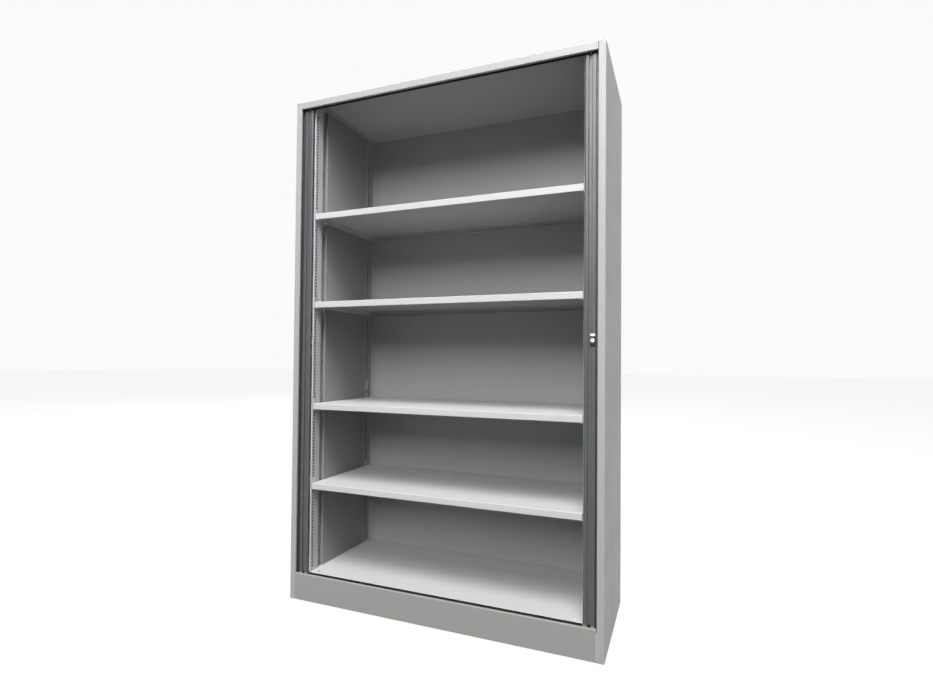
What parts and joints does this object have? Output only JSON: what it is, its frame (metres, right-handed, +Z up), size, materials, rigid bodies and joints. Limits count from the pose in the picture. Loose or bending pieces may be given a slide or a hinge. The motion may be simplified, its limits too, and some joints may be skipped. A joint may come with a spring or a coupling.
{
  "type": "roller front cabinet",
  "caption": "Tall free-standing steel cabinet with side-opening roller fronts that slide into the sides, adjustable shelves and a hook lock.",
  "frame": {"origin": "centre of the footprint, on the floor", "axes": "+Z up, -Y towards the person who opens it, +X to that person's right"},
  "size_m": [1.2, 0.47, 1.95],
  "materials": {
    "cabinet_paint": "light grey powder coat, fine texture",
    "track_plastic": "black extruded plastic",
    "curtain_pvc": "dark grey satin PVC",
    "glide_plastic": "light grey moulded nylon",
    "zinc": "zinc plated steel",
    "black_plastic": "black moulded plastic",
    "black_steel": "blackened steel foot with a black plastic pad",
    "chrome": "polished chrome plate"
  },
  "bodies": {
    "carcass": {"left_side_panel": "cabinet_paint", "right_side_panel": "cabinet_paint", "top_panel": "cabinet_paint", "back_panel": "cabinet_paint", "bottom_panel": "cabinet_paint", "plinth_front": "cabinet_paint", "plinth_back": "cabinet_paint", "left_liner": "cabinet_paint", "right_liner": "cabinet_paint", "left_front_upright": "cabinet_paint", "right_front_upright": "cabinet_paint", "left_rear_upright": "cabinet_paint", "right_rear_upright": "cabinet_paint", "front_bottom_track": "track_plastic", "front_top_track": "track_plastic", "left_bottom_track": "track_plastic", "right_bottom_track": "track_plastic", "left_top_track": "track_plastic", "right_top_track": "track_plastic", "left_curtain_slats": "curtain_pvc", "right_curtain_slats": "curtain_pvc", "shelf_1": "cabinet_paint", "shelf_2": "cabinet_paint", "shelf_3": "cabinet_paint", "shelf_4": "cabinet_paint", "shelf_1_clips": "zinc", "shelf_2_clips": "zinc", "shelf_3_clips": "zinc", "shelf_4_clips": "zinc", "spare_shelf_clip": "zinc", "levelling_feet": "black_steel", "foot_brackets": "zinc", "back_screws": "zinc", "ceiling_screws": "zinc"},
    "left_door": {"left_leading_profile": "curtain_pvc", "left_top_glide": "glide_plastic", "left_bottom_glide": "glide_plastic", "strike_plate": "zinc", "strike_screws": "zinc"},
    "right_door": {"right_leading_profile": "curtain_pvc", "right_top_glide": "glide_plastic", "right_bottom_glide": "glide_plastic", "lock_case": "zinc", "lock_escutcheon": "black_plastic", "lock_cylinder": "chrome"},
    "lock_barrel": {"lock_plug": "zinc", "lock_hook": "zinc", "hook_screw": "zinc"}
  },
  "joints": [
    {"name": "left_door_slide", "type": "slide", "parent": "carcass", "child": "left_door", "axis": [1, 0, 0], "range_m": [0, 0.5305], "deforming": ["left_curtain_slats"]},
    {"name": "right_door_slide", "type": "slide", "parent": "carcass", "child": "right_door", "axis": [-1, 0, 0], "range_m": [0, 0.5305], "deforming": ["right_curtain_slats"]},
    {"name": "lock_turn", "type": "hinge", "parent": "right_door", "child": "lock_barrel", "pos_m": [0.559, -0.2256, 1.003], "axis": [0, -1, 0], "range_deg": [0, 90]}
  ]
}
